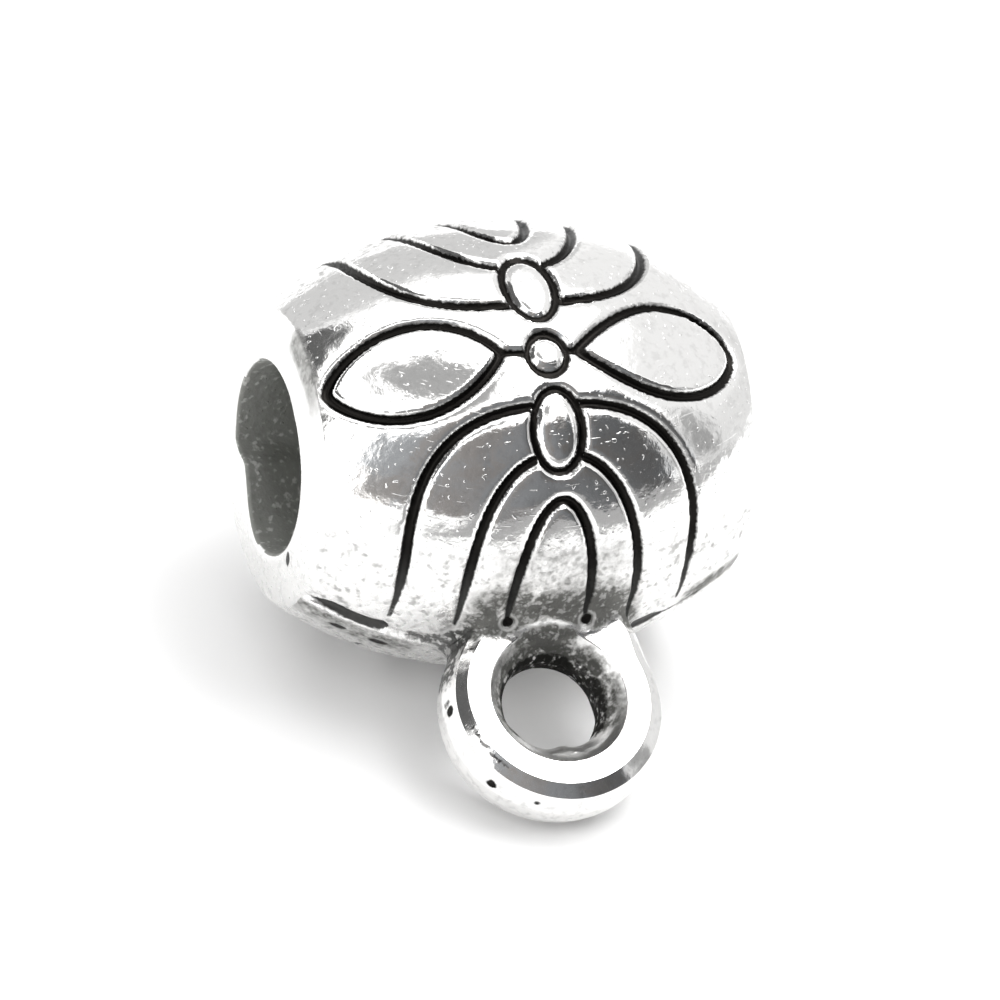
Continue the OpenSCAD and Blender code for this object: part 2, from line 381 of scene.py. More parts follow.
def seam_edge(x, turn):
    """How far a point is in front of the seam in mm, and how far from the crevice, negative inside it."""
    ahead = (90 - np.abs(turn)) * np.radians(1) * CREVICE_R
    left = 1.1 * smooth_step(-x, 3.4, 3.6) * (1 - smooth_step(-x, 4.7, 5.35))
    right = 1.1 * smooth_step(x, 2.2, 2.5) * (1 - 0.7 * smooth_step(x, 2.9, 3.4))
    right *= 1 - smooth_step(x, 4.4, 4.9)
    middle = 0.05 + 0.03 * np.sin(5.0 * x)
    width = CREVICE_W * np.where(turn > 0, left + right, 0)
    return ahead, np.abs(ahead - middle) - width / 2


def seam(x, turn):
    """A crevice in front of a thin proud lip, and behind it the back half of the casting, a little wider."""
    ahead, edge = seam_edge(x, turn)
    crevice = -CREVICE_D * (1 - smooth_step(edge, -0.1, 0.05))
    strength = np.where(turn > 0, smooth_step(np.abs(x), 1.9, 2.6) * (1 - 0.6 * smooth_step(x, 0, 1)), 0.2)
    lip = LIP * np.exp(-(((ahead + 0.13) / 0.07) ** 2))
    ledge = LEDGE * smooth_step(-ahead, 0.05, 0.2) * np.exp(-np.maximum(-ahead - 0.2, 0) / 0.6)
    return strength * (crevice + lip) + ledge


def burr(points):
    """How far a tongue of metal stands into the bore at the left mouth, on its lower side."""
    turn = np.degrees(np.arctan2(points[:, 2], points[:, 1]))
    radius = np.hypot(points[:, 1], points[:, 2])
    span = smooth_step(turn, -128, -78) * (1 - smooth_step(turn, -73, -53))
    depth = smooth_step(-points[:, 0], 3.6, 4.8)
    return BURR * span * depth * (1 - smooth_step(radius, BORE_R + 0.12, BORE_R + 0.3))


# %% [markdown]
# The barrel with its bore
#
# The barrel is a profile turned about the bore's axis: the belly's arc, a rounded rim, the shallow dome
# of the end, the bevel and the wall of the bore, and the same back on the other side. The relief then
# moves the skin along its normal.

# %% Profile of the barrel
BELLY_ROWS = 160
COLUMNS = 400
ROUND_ROWS = 7
DOME_ROWS = 8
BORE_ROWS = 12


def rim_centre():
    """Centre of the rounding that touches the belly's arc and the end's dome from inside."""
    a, ra = np.array([0.0, -BELLY_SINK]), BELLY_ARC - RIM_ROUND
    b, rb = np.array([DOME_X, 0.0]), DOME_ARC - RIM_ROUND
    apart = np.linalg.norm(b - a)
    along = (apart**2 + ra**2 - rb**2) / (2 * apart)
    high = math.sqrt(ra**2 - along**2)
    u = (b - a) / apart
    return a + along * u + high * np.array([u[1], -u[0]])


def arc(centre, radius, start, end, count):
    """Points and outward normals of an arc, with angles from the radial direction towards +x."""
    a = np.linspace(start, end, count)
    normal = np.stack([np.sin(a), np.cos(a)], axis=1)
    return np.array(centre) + radius * normal, normal


def barrel_profile():
    """Closed profile as points (x, radius), their normals, and which of them are on the belly."""
    c = rim_centre()
    on_belly = math.atan2(c[0], c[1] + BELLY_SINK)
    on_dome = math.atan2(c[0] - DOME_X, c[1])
    mouth_r = BORE_R + BORE_BEVEL
    at_mouth = math.pi / 2 - math.asin(mouth_r / DOME_ARC)
    belly = arc((0, -BELLY_SINK), BELLY_ARC, -on_belly, on_belly, BELLY_ROWS)
    rounding = arc(c, RIM_ROUND, on_belly, on_dome, ROUND_ROWS + 2)
    dome = arc((DOME_X, 0), DOME_ARC, on_dome, at_mouth, DOME_ROWS + 1)
    edge_x = DOME_X + math.sqrt(DOME_ARC**2 - mouth_r**2)
    swing = np.linspace(0, math.pi / 2, 5)[1:]
    bevel_x = edge_x - BORE_BEVEL * (1 - np.cos(swing))
    bevel = np.stack([bevel_x, mouth_r - BORE_BEVEL * np.sin(swing)], axis=1)
    bevel_normal = np.stack([np.cos(swing), -np.sin(swing)], axis=1)
    half = np.concatenate([rounding[0][1:-1], dome[0], bevel])
    half_normal = np.concatenate([rounding[1][1:-1], dome[1], bevel_normal])
    wall_x = np.linspace(half[-1, 0], -half[-1, 0], BORE_ROWS + 2)[1:-1]
    wall = np.stack([wall_x, np.full(BORE_ROWS, BORE_R)], axis=1)
    wall_normal = np.tile([0.0, -1.0], (BORE_ROWS, 1))
    mirrored = half[::-1] * [-1, 1], half_normal[::-1] * [-1, 1]
    points = np.concatenate([belly[0], half, wall, mirrored[0]])
    normals = np.concatenate([belly[1], half_normal, wall_normal, mirrored[1]])
    return points, normals, np.arange(len(points)) < BELLY_ROWS


profile, profile_normal, belly_row = barrel_profile()
print("profile of", len(profile), "points, x and radius up to", profile.max(axis=0).round(3))

# %% Barrel as a grid


def barrel_grid():
    """The profile at each turn, moved along its normal by relief, seam, burr and lumps."""
    turn = np.linspace(-180, 180, COLUMNS, endpoint=False)
    b = np.radians(turn)
    x, radius = profile[:, 0][:, None], profile[:, 1][:, None]
    grid = np.stack([x + 0 * b, -radius * np.sin(b), radius * np.cos(b)], axis=-1)
    nx, nr = profile_normal[:, 0][:, None], profile_normal[:, 1][:, None]
    normal = np.stack([nx + 0 * b, -nr * np.sin(b), nr * np.cos(b)], axis=-1)
    flat, flat_normal = grid.reshape(-1, 3), normal.reshape(-1, 3)
    belly = np.repeat(belly_row, COLUMNS)
    height = 0.02 * lumps(flat, 2.1, 3) + 0.009 * lumps(flat, 0.8, 5) + 0.004 * lumps(flat, 0.33, 7)
    foot, around, skin = skin_place(flat[belly])
    height[belly] += relief(foot, around, skin)[0] + seam(foot, around)
    made = flat + height[:, None] * flat_normal
    inwards = -flat[:, 1:] / np.hypot(flat[:, 1], flat[:, 2])[:, None]
    made[:, 1:] += burr(flat)[:, None] * inwards
    return made.reshape(grid.shape)


barrel = ring_mesh("barrel", barrel_grid())
print("barrel faces:", len(barrel.data.polygons))

# %% [markdown]
# The loop
#
# The loop is its cross section carried round a circle. The section has flat faces front and back, a wide
# mouth that narrows to a neck inside the hole, a narrow bevel in front and a rounded outside. The outside
# is cast a little off centre, stands further out where the right arm meets the barrel, and a thin tongue
# of metal lies in the hole at the loop's tip.

# %% Section of the loop
LOOP_REACH = 6.89
LOOP_STEPS = 180
SECTION_MIDDLE = 1.95
# corner of the section as (distance from the loop's axis, n), and the radius that rounds it
LOOP_CORNERS = [
    (2.21, 0.995, 0.03),
    (2.49, 0.78, 0.04),
    (2.64, 0.2, 0.3),
    (2.62, -0.2, 0.3),
    (2.48, -0.62, 0.3),
    (2.15, -0.95, 0.15),
    (1.66, -0.95, 0.15),
    (1.17, -0.1, 0.3),
    (1.17, 0.36, 0.3),
    (1.655, 0.995, 0.06),
]
ARC_POINTS = 6
LONGEST_STEP = 0.13
OUTSIDE_SHIFT = np.array([0.035, -0.035])
HOLE_BURR = 0.15


def rounded_outline(corners):
    """Closed outline through the corners, each replaced by an arc that touches both its sides."""
    places = np.array([c[:2] for c in corners])
    before, after = np.roll(places, 1, axis=0), np.roll(places, -1, axis=0)
    to_before = (before - places) / np.linalg.norm(before - places, axis=1, keepdims=True)
    to_after = (after - places) / np.linalg.norm(after - places, axis=1, keepdims=True)
    half = np.arccos(np.clip((to_before * to_after).sum(axis=1), -1, 1)) / 2
    radius = np.array([c[2] for c in corners])
    bisector = (to_before + to_after) / np.linalg.norm(to_before + to_after, axis=1, keepdims=True)
    centre = places + bisector * (radius / np.sin(half))[:, None]
    swing = np.linspace(-1, 1, ARC_POINTS)[None, :] * (math.pi / 2 - half)[:, None]
    side = np.sign(to_before[:, 0] * to_after[:, 1] - to_before[:, 1] * to_after[:, 0])
    angle = np.arctan2(-bisector[:, 1], -bisector[:, 0])[:, None] - side[:, None] * swing
    arcs = centre[:, None] + radius[:, None, None] * np.stack([np.cos(angle), np.sin(angle)], axis=-1)
    outline = arcs.reshape(-1, 2)
    ahead = np.roll(outline, -1, axis=0)
    pieces = np.maximum(1, np.ceil(np.linalg.norm(ahead - outline, axis=1) / LONGEST_STEP)).astype(int)
    start = np.repeat(np.arange(len(outline)), pieces)
    share = np.arange(pieces.sum()) - np.repeat(np.cumsum(pieces) - pieces, pieces)
    return outline[start] + (ahead - outline)[start] * (share / pieces[start])[:, None]


section = rounded_outline(LOOP_CORNERS)
print("section of the loop:", len(section), "points, radius and n up to", section.max(axis=0).round(3))

# %% Loop as a grid


def outside_share(radius):
    """0 on the faces and in the hole, 1 on the outside of the loop, which is cast a little off centre."""
    return smooth_step(radius, 2.25, 2.5)


def flare(b, radius):
    """How far the outside stands out where the right arm meets the barrel; b is 0 at the loop's tip."""
    return 0.4 * smooth_step(b, math.radians(108), math.radians(142)) * smooth_step(radius, 1.75, 2.2)


def loop_grid():
    """The section turned about the loop's axis, with gentle lumps away from the middle of the section."""
    b = np.linspace(-math.pi, math.pi, LOOP_STEPS, endpoint=False)
    radius, n = section[:, 0][:, None], section[:, 1][:, None]
    radius = radius + flare(b, radius)
    shift = outside_share(radius)[..., None] * OUTSIDE_SHIFT
    x, v = radius * np.sin(b) + shift[..., 0], -LOOP_REACH - radius * np.cos(b) + shift[..., 1]
    grid = np.stack([x, v, n + 0 * b], axis=-1)
    core = np.stack([SECTION_MIDDLE * np.sin(b), -LOOP_REACH - SECTION_MIDDLE * np.cos(b), 0 * b], axis=-1)
    out = grid - core[None]
    out /= np.linalg.norm(out, axis=-1, keepdims=True)
    flat = grid.reshape(-1, 3)
    on_face = smooth_step(flat[:, 2], 0.9, 0.98)
    height = (0.02 * lumps(flat, 1.3, 11) + 0.012 * lumps(flat, 0.5, 12)) * (1 - 0.85 * on_face)
    in_hole = 1 - smooth_step(np.hypot(flat[:, 0], flat[:, 1] + LOOP_REACH), 1.3, 1.55)
    from_tip = np.tile(b, len(section))
    tongue = HOLE_BURR * np.exp(-((from_tip / 0.42) ** 2)) * smooth_step(flat[:, 2], -0.5, 0.1)
    height += in_hole * (0.035 * lumps(flat, 0.4, 13) + tongue * (1 + 0.3 * lumps(flat, 0.35, 14)))
    return (flat + height[:, None] * out.reshape(-1, 3)).reshape(grid.shape)


loop = ring_mesh("loop", loop_grid())
print("loop faces:", len(loop.data.polygons))

# %% [markdown]
# One casting from two skins
#
# A Boolean joins both skins to one closed skin, with a sharp crease where they meet. Metal never fills a
# mould with so sharp a corner. So the points near the crease are then moved to a blend of the two shapes:
# each shape is written as a signed distance, and a smooth minimum of both has a hollow in place of the
# crease.


# %% Join with a Boolean
def join(base, other):
    """Union of two closed meshes as a new mesh, in place of both objects."""
    modifier = base.modifiers.new("join", "BOOLEAN")
    modifier.operation = "UNION"
    modifier.solver = "MANIFOLD"
    modifier.object = other
    evaluated = base.evaluated_get(bpy.context.evaluated_depsgraph_get())
    mesh = bpy.data.meshes.new_from_object(evaluated)
    bpy.data.objects.remove(other)
    bpy.data.objects.remove(base)
    return mesh


mesh = join(barrel, loop)
print("joined:", len(mesh.vertices), "points,", len(mesh.polygons), "faces")

# %% Blend at the roots of the loop


def loop_distance(points):
    """Signed distance from the loop's section, measured outwards from the middle of the section."""
    share = outside_share(np.hypot(points[:, 0], points[:, 1] + LOOP_REACH))
    x, v = points[:, 0] - share * OUTSIDE_SHIFT[0], points[:, 1] - share * OUTSIDE_SHIFT[1] + LOOP_REACH
    radius = np.hypot(x, v)
    radius = radius - flare(np.arctan2(x, -v), radius)
    q = np.stack([radius - SECTION_MIDDLE, points[:, 2]], axis=1)
    angle = np.arctan2(q[:, 1], q[:, 0])
    rim = section - [SECTION_MIDDLE, 0]
    order = np.argsort(np.arctan2(rim[:, 1], rim[:, 0]))
    at, far = np.arctan2(rim[:, 1], rim[:, 0])[order], np.hypot(rim[:, 0], rim[:, 1])[order]
    return np.hypot(q[:, 0], q[:, 1]) - np.interp(angle, at, far, period=2 * math.pi)


def barrel_distance(points):
    """Signed distance from the belly with its relief."""
    foot, turn, skin = skin_place(points)
    radius = np.hypot(points[:, 1], points[:, 2])
    arc_distance = np.hypot(points[:, 0], radius + BELLY_SINK) - BELLY_ARC
    return arc_distance - relief(foot, turn, skin)[0] - seam(foot, turn)


def blend_field(points):
    """Smooth minimum a - (k - |a - b|)^2 / 4k of both distances, with k smaller in the hole."""
    a, b = barrel_distance(points), loop_distance(points)
    reach = np.hypot(points[:, 0], points[:, 1] + LOOP_REACH)
    k = 0.45 * np.maximum(smooth_step(reach, 1.7, 2.6), smooth_step(points[:, 2], 0.35, 0.85))
    k = 0.16 + k * (1 - 0.6 * smooth_step(points[:, 0], 0.9, 1.7))
    return np.minimum(a, b) - np.maximum(k - np.abs(a - b), 0) ** 2 / (4 * k)


def blend_roots(points):
    """Newton steps p - F grad F / |grad F|^2 for the points near both skins."""
    near = (np.abs(points[:, 0]) < 4) & (points[:, 1] < -3.5) & (np.abs(points[:, 2]) < 2.2)
    ids = np.flatnonzero(near)
    a, b = barrel_distance(points[ids]), loop_distance(points[ids])
    ids = ids[(np.maximum(a, b) < 0.7) & (np.minimum(a, b) > -0.2)]
    moved = points[ids].copy()
    step = 0.004
    for _ in range(5):
        value = blend_field(moved)
        slope = np.stack([(blend_field(moved + step * axis) - value) / step for axis in np.eye(3)], axis=1)
        moved -= (value / np.maximum((slope**2).sum(axis=1), 0.3))[:, None] * slope
    shift = moved - points[ids]
    length = np.linalg.norm(shift, axis=1, keepdims=True)
    shift *= np.minimum(1, 0.25 / np.maximum(length, 1e-9))
    points[ids] += shift
    return len(ids), float(length.max())


points = np.empty(len(mesh.vertices) * 3)
mesh.vertices.foreach_get("co", points)
points = points.reshape(-1, 3)
print("blended points and longest move:", blend_roots(points))

# %% [markdown]
# Pits
#
# The two feet of the inner arch end in round pits, made in the mould by the tip of a drill, and these are
# hollows in the mesh. Bubbles of air have left small marks in the side of the loop, at the left rim and
# behind the seam. They are so shallow that the black finish in them is all that shows.

# %% Pits of the casting
PIT_DEPTH = 0.1
# x, turn and radius of each drilled pit
DRILLED = [(-1.02, 76.0, 0.14), (1.02, 76.4, 0.14)]
# place in the upright frame, and half width along X, Y and Z on the table
BUBBLES = [
    ((-5.47, -2.55, -0.10), (0.08, 0.09, 0.2)),
    ((-2.63, -6.61, 0.54), (0.12, 0.16, 0.28)),
    ((-2.56, -6.88, 0.50), (0.09, 0.12, 0.16)),
    ((-1.92, -8.76, 0.37), (0.17, 0.14, 0.13)),
    ((-0.93, -9.38, 0.47), (0.13, 0.1, 0.1)),
    ((-3.45, -4.47, -0.84), (0.26, 0.2, 0.12)),
    ((-4.35, -4.03, -0.76), (0.24, 0.16, 0.11)),
]


def drilled_place(points, x, turn):
    """The outermost point of the skin at this x and turn."""
    around = np.degrees(np.arctan2(-points[:, 1], points[:, 2]))
    off = np.hypot(points[:, 0] - x, np.radians(around - turn) * BELLY_R)
    near = np.flatnonzero(off < 0.1)
    return points[near[np.argmax(np.hypot(points[near, 1], points[near, 2]))]]


def sink_pits(points):
    """Hollows the drilled pits, and returns every pit as its place and half widths on the table in metres."""
    pits = []
    for x, turn, radius in DRILLED:
        place = drilled_place(points, x, turn)
        towards = -place * [0, 1, 1] / np.hypot(place[1], place[2])
        away = np.linalg.norm(points - place, axis=1)
        points += PIT_DEPTH * np.exp(-((away / radius) ** 4))[:, None] * towards
        pits.append((to_table(place[None])[0] * MM, np.full(3, radius * MM)))
    for place, half in BUBBLES:
        pits.append((to_table(np.array([place]))[0] * MM, np.array(half) * MM))
    return pits


pits = sink_pits(points)
print("pits:", [(place / MM).round(2).tolist() for place, half in pits])

# %% [markdown]
# What the finish follows
#
# The black finish stays in the grooves, in the bore and in the corners at the roots. It is worn thin over
# the loop, by the seam and at the left rim. At the roots and over the loop this dark is also painted shade,
# for the shadowed floor and loop that the belly mirrors. In the neck of the hole, at the left root, along
# the left arm and before the seam the black is thick, and partly painted shade. A thin line along the top
# of the hole's mouth is left silver as a painted highlight. In the crevices and at the ends of the legs the
# black has turned grey. The cast skin stays frosted where the polishing wheel can't reach: near the seam,
# on the ends and on the loop's side. Each of these is a number per point, worked out from the point's
# place, and kept on the mesh as an attribute for the material.


# %% Numbers for the finish
# a point further down than this is near the loop
LOOP_SIDE = -4.6


def window(value, rise, fall):
    """1 between two smooth steps: up over the pair rise, and down over the pair fall."""
    return smooth_step(value, *rise) * (1 - smooth_step(value, *fall))


def bell(value, width):
    """exp(-(value / width)^2), 1 where the value is 0."""
    return np.exp(-((value / width) ** 2))


def places_on(points):
    """Where each point is on the casting, as measures in mm and degrees and as shares from 0 to 1."""
    at = SimpleNamespace()
    at.x, at.v, at.n = points.T
    at.foot, at.turn, at.skin = skin_place(points)
    at.radius = np.hypot(at.v, at.n)
    at.lift = np.hypot(at.x, at.radius + BELLY_SINK) - BELLY_ARC
    at.reach = np.hypot(at.x, at.v + LOOP_REACH)
    at.to_barrel, at.to_loop = barrel_distance(points), loop_distance(points)
    at.low = at.v < LOOP_SIDE
    at.on_loop = smooth_step(-at.to_loop, -0.08, 0.02) * at.low
    at.on_face = smooth_step(at.n, 0.93, 0.975) * smooth_step(at.reach, 1.6, 1.7) * at.on_loop
    at.in_bore = (1 - smooth_step(at.radius, 2.27, 2.4)) * (np.abs(at.x) < 5.47)
    at.on_belly = (np.abs(at.lift) < 0.3) * (1 - at.on_loop) * (np.abs(at.x) < 5.3)
    at.in_hole = (1 - smooth_step(at.reach, 1.62, 1.68)) * at.low * (at.v > -9)
    at.upper_hole = at.in_hole * (1 - smooth_step(-at.v, 7.5, 7.9))
    return at


def black_on(at):
    """Worn black in the bore and the hole, by the seam and the left rim, and also painted shade at the roots
    and over the loop.
    """
    hole = 0.8 * at.upper_hole * (1 - 0.5 * smooth_step(at.reach, 1.3, 1.6))
    # painted shade: the black at the roots and over the loop also stands for the shadowed floor and loop that
    # the belly mirrors
    roots = 0.6 * bell(at.to_barrel, 0.4) * bell(at.to_loop, 0.4) * at.low * smooth_step(at.reach, 1.8, 2.4)
    over_loop = 0.38 * smooth_step(at.turn, 43, 55) + 0.76 * smooth_step(at.turn, 62, 74)
    over_loop *= (1 - smooth_step(at.turn, 84, 92)) * (at.n > 0)
    over_loop *= (1 - smooth_step(np.abs(at.foot - 0.1), 1.0, 2.8)) * (1 - smooth_step(at.lift, 0.2, 0.45))
    behind_seam = 0.55 * window(at.turn, (92, 95), (100, 112)) * smooth_step(-at.foot, 2.4, 2.9) * at.on_belly
    right_of_seam = 0.75 * window(at.turn, (76, 84), (89, 92)) * smooth_step(at.foot, 3.4, 4.1) * at.on_belly
    left_rim = 0.62 * window(-at.x, (5.14, 5.22), (5.38, 5.44)) * (at.radius > 2.9)
    left_rim *= window(at.turn, (-38, -28), (-8, 24))
    # painted highlight: the black is taken off in a thin line along the top of the hole's mouth, so the
    # silver shows bright there
    ridge_highlight = bell(at.reach - 1.76, 0.08) * (at.v > -5.9) * (1 - smooth_step(at.reach, 1.9, 2.0))
    black = at.in_bore + hole + roots + over_loop + behind_seam + right_of_seam + left_rim
    return np.clip(black * (1 - 0.85 * ridge_highlight), 0, 1) * (1 - at.on_face)


def thick_black_and_shade_on(at):
    """Thick black in the neck of the hole, at the left root, along the left arm and before the seam, partly
    painted shade.
    """
    neck = at.upper_hole * (1 - smooth_step(at.reach, 1.22, 1.34))
    # painted shade: darkest low down on the left, where the barrel meets the loop
    left_root = 1.2 * bell(at.to_barrel, 0.65) * bell(at.to_loop, 0.4) * at.low
    left_root *= smooth_step(-at.x, 1.5, 2.0) * smooth_step(at.n, -0.7, -0.2)
    left_arm = 0.8 * (at.reach > 2.3) * smooth_step(-at.x, 2.05, 2.3) * smooth_step(at.v, -6.5, -6.1)
    left_arm *= window(at.n, (-0.6, -0.2), (0.55, 0.75)) * at.on_loop
    first_turn = 87 - 4 * smooth_step(at.foot, -2.8, -1.8)
    before_seam = smooth_step(at.turn - first_turn, -1.2, 1.2) * (1 - smooth_step(at.turn, 90.5, 91.5))
    before_seam *= window(-at.foot, (1.5, 1.9), (2.9, 3.2)) * at.on_belly
    face_edge = 0.75 * bell(at.reach - 2.3, 0.045) * (at.n > 0.8) * (at.v < -7.4)
    face_edge *= smooth_step(-at.x, 1.45, 1.7)
    soot = neck + left_root + left_arm + before_seam + face_edge
    return np.clip(soot, 0, 1) * (1 - at.on_face)


def finish_fields(points):
    """Edge distance of the grooves in mm, and the shares from 0 to 1 that the material reads."""
    at = places_on(points)
    crevice = seam_edge(at.foot, at.turn)[1]
    groove = np.minimum(relief(at.foot, at.turn, at.skin)[1], crevice)
    edge = np.where(at.on_belly > 0.5, groove, FAR_OFF)
    mould_turn = np.abs(fold(at.turn))
    side = smooth_step(mould_turn, 44, 60) * at.on_belly
    wall = at.on_loop * smooth_step(0.78 - at.n, 0, 0.06) * (1 - at.on_face)
    end = smooth_step(np.abs(at.x), 5.2, 5.32)
    return {
        "groove_edge": edge,
        "greyed": np.maximum(crevice <= edge, 0.7 * smooth_step(mould_turn, 54, 74)) * at.on_belly,
        "black_finish": black_on(at),
        "soot": thick_black_and_shade_on(at),
        "frosted": np.clip(np.maximum(np.maximum(side, wall), end), 0, 1),
        "on_side": side,
        "on_wall": wall,
        "on_end": end,
        "on_loop": at.on_loop,
        "in_bore": at.in_bore,
        "in_hole": at.in_hole,
    }


def store(mesh, fields):
    for name, values in fields.items():
        attribute = mesh.attributes.new(name, "FLOAT", "POINT")
        attribute.data.foreach_set("value", values.astype(np.float32))


fields = finish_fields(points)
store(mesh, fields)
print({name: (round(float(v.min()), 2), round(float(v.max()), 2)) for name, v in fields.items()})

# %% Put the casting on the table
table_points = to_table(points) * MM
table_points[:, 2] -= table_points[:, 2].min()
mesh.vertices.foreach_set("co", table_points.ravel())
mesh.polygons.foreach_set("use_smooth", np.ones(len(mesh.polygons), bool))
mesh.update()
casting = bpy.data.objects.new("bail_silver", mesh)
mesh.name = "bail_silver"
scene.collection.objects.link(casting)
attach(casting, "root")
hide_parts("bail_casting")
print("casting in mm:", (table_points.min(axis=0) / MM).round(3), (table_points.max(axis=0) / MM).round(3))

# %% [markdown]
# Maths in the material
#
# A material is a net of nodes, and a formula in it would need a Math node for every sign. The small class
# below wraps an output of a node, so that plus, minus, times and divide add those nodes by themselves.


# %% A wire that does maths
class Wire:
    """An output socket. Arithmetic on it adds Math nodes, and node() adds any other node."""

    def __init__(self, tree, socket=None):
        self.tree, self.socket = tree, socket

    def node(self, kind, settings=None, inputs=None, out=0):
        made = self.tree.nodes.new(kind)
        for name, value in (settings or {}).items():
            setattr(made, name, value)
        for name, value in (inputs or {}).items():
            if isinstance(value, Wire):
                self.tree.links.new(value.socket, made.inputs[name])
            else:
                made.inputs[name].default_value = value
        return Wire(self.tree, made.outputs[out])

    def maths(self, operation, *values):
        return self.node("ShaderNodeMath", {"operation": operation}, dict(enumerate(values)))

    def __add__(self, other):
        return self.maths("ADD", self, other)

    def __sub__(self, other):
        return self.maths("SUBTRACT", self, other)

    def __rsub__(self, other):
        return self.maths("SUBTRACT", other, self)

    def __mul__(self, other):
        return self.maths("MULTIPLY", self, other)

    def __truediv__(self, other):
        return self.maths("DIVIDE", self, other)

    __radd__, __rmul__ = __add__, __mul__

    def least(self, other):
        return self.maths("MINIMUM", self, other)

    def most(self, other):
        return self.maths("MAXIMUM", self, other)

    def step(self, low, high):
        """Smooth step from 0 at low to 1 at high."""
        limits = {"Value": self, "From Min": low, "From Max": high}
        return self.node("ShaderNodeMapRange", {"interpolation_type": "SMOOTHSTEP"}, limits)

    def between(self, low, high, soft):
        """1 between low and high, with soft ends."""
        return self.step(low - soft, low + soft) * (1 - self.step(high - soft, high + soft))

    def mix(self, a, b):
        """Colour a where this is 0 and colour b where it is 1."""
        colours = {0: self, 6: a, 7: b}
        return self.node("ShaderNodeMix", {"data_type": "RGBA"}, colours, out=2)


def new_material(name):
    material = bpy.data.materials.new(name)
    material.use_nodes = True
    tree = material.node_tree
    return material, Wire(tree), tree.nodes["Principled BSDF"]


print("wire ready")

# %% [markdown]
# Antique silver
#
# Polished silver is a mirror with a slightly rough face, crossed by a few fine scratches and dotted with
# nibs and dark specks of the casting. The black finish is a dull dark layer, and its edge is a little
# ragged where the wheel took it off. At the roots, over the loop and in the thickest places the same dark
# layer is partly painted shade, and a thin line left silver above the hole is a painted highlight. The
# frosted skin scatters light, because it is grainy. All of this grain is a bump of a few thousandths of a
# millimetre, up to about two hundredths in the black parts.

# %% Material of the casting
SILVER = (0.93, 0.925, 0.915, 1)
BLACK = (0.014, 0.013, 0.012, 1)
CREVICE_GREY = (0.07, 0.07, 0.068, 1)
# dark of the worn black, which at the roots and over the loop is also painted shade
OLD_BLACK_AND_SHADE = (0.17, 0.17, 0.16, 1)
BORE_GREY = (0.38, 0.385, 0.365, 1)
DUSTY = (0.15, 0.147, 0.142, 1)
# features per mm and detail of each noise
NOISES = {"wave": (1.2, 2), "patch": (3.2, 3), "spot": (5.5, 2), "grain": (9, 3), "fine": (20, 2)}


def noise(start, per_mm, detail):
    """Soft noise from about 0.2 to 0.8, fixed to the piece, with lumps of about 1 / per_mm mm."""
    values = {"Vector": start.node("ShaderNodeTexCoord", out=3), "Scale": per_mm / MM, "Detail": detail}
    return start.node("ShaderNodeTexNoise", None, values)


def scratches(start, tilt, per_mm):
    """Thin lines about 1 / per_mm mm long, tilted about Y by tilt radians, 1 where a scratch runs."""
    where = start.node("ShaderNodeTexCoord", out=3)
    values = {"Vector": where, "Rotation": (0.3, tilt, 0.6), "Scale": (per_mm, per_mm, 12 * per_mm)}
    drawn_out = start.node("ShaderNodeMapping", None, values)
    lines = start.node("ShaderNodeTexNoise", None, {"Vector": drawn_out, "Scale": 1 / MM, "Detail": 1.0})
    return lines.step(0.71, 0.8)


def pit_reach(start, place, half, ragged):
    """Distance from a place in half widths of its pit, 1 at the pit's edge, made ragged by noise."""
    where = start.node("ShaderNodeTexCoord", out=3)
    off = start.node("ShaderNodeVectorMath", {"operation": "SUBTRACT"}, {0: where, 1: place})
    off = start.node("ShaderNodeVectorMath", {"operation": "DIVIDE"}, {0: off, 1: half})
    away = start.node("ShaderNodeVectorMath", {"operation": "LENGTH"}, {0: off}, out=1)
    return away + ragged


def read_skin(start):
    """The numbers kept on the mesh and the noises, as wires by name."""
    skin = SimpleNamespace()
    for name in fields:
        setattr(skin, name, start.node("ShaderNodeAttribute", {"attribute_name": name}, out=2))
    for name, (per_mm, detail) in NOISES.items():
        setattr(skin, name, noise(start, per_mm, detail))
    return skin


def add_masks(start, skin):
    """Adds groove, pit, rim, black, sooted, frost and specks: 0 to 1, with edges made ragged by noise."""
    skin.groove = 1 - (skin.groove_edge + (skin.grain - 0.5) * 0.06).step(-0.035, 0.01)
    reach = [pit_reach(start, place, half, (skin.grain - 0.5) * 0.5) for place, half in pits]
    skin.pit = sum(1 - one.step(0.85, 1.15) for one in reach).least(1.0)
    skin.rim = sum(one.between(1.3, 1.8, 0.2) for one in reach[: len(DRILLED)])
    worn_off = 2.1 * (skin.patch - 0.5) + 2.2 * (skin.spot - 0.5) + 0.8 * (skin.grain - 0.5)
    calm = 0.7 * (skin.in_bore + skin.on_end)
    skin.black = (skin.black_finish * (1 + worn_off * (1 - calm))).step(0.12, 0.85)
    ragged = 0.8 + 3.0 * (skin.spot - 0.5) + 1.5 * (skin.grain - 0.5)
    skin.sooted = (skin.soot * ragged).step(0.2, 0.7) * 0.85
    skin.frost = (skin.frosted + (skin.patch - 0.5) * 0.5).step(0.2, 0.9)
    ends = skin.frosted * (1 - skin.on_side)
    specks = (1 - skin.spot.step(0.3, 0.56)) * (0.14 + 0.5 * skin.frost * skin.on_side + 0.25 * ends)
    specks = specks * (1 - skin.patch.step(0.4, 0.6) * 0.75)
    skin.specks = specks * (1 - 0.5 * skin.on_wall) * (1 - 0.6 * skin.on_end)


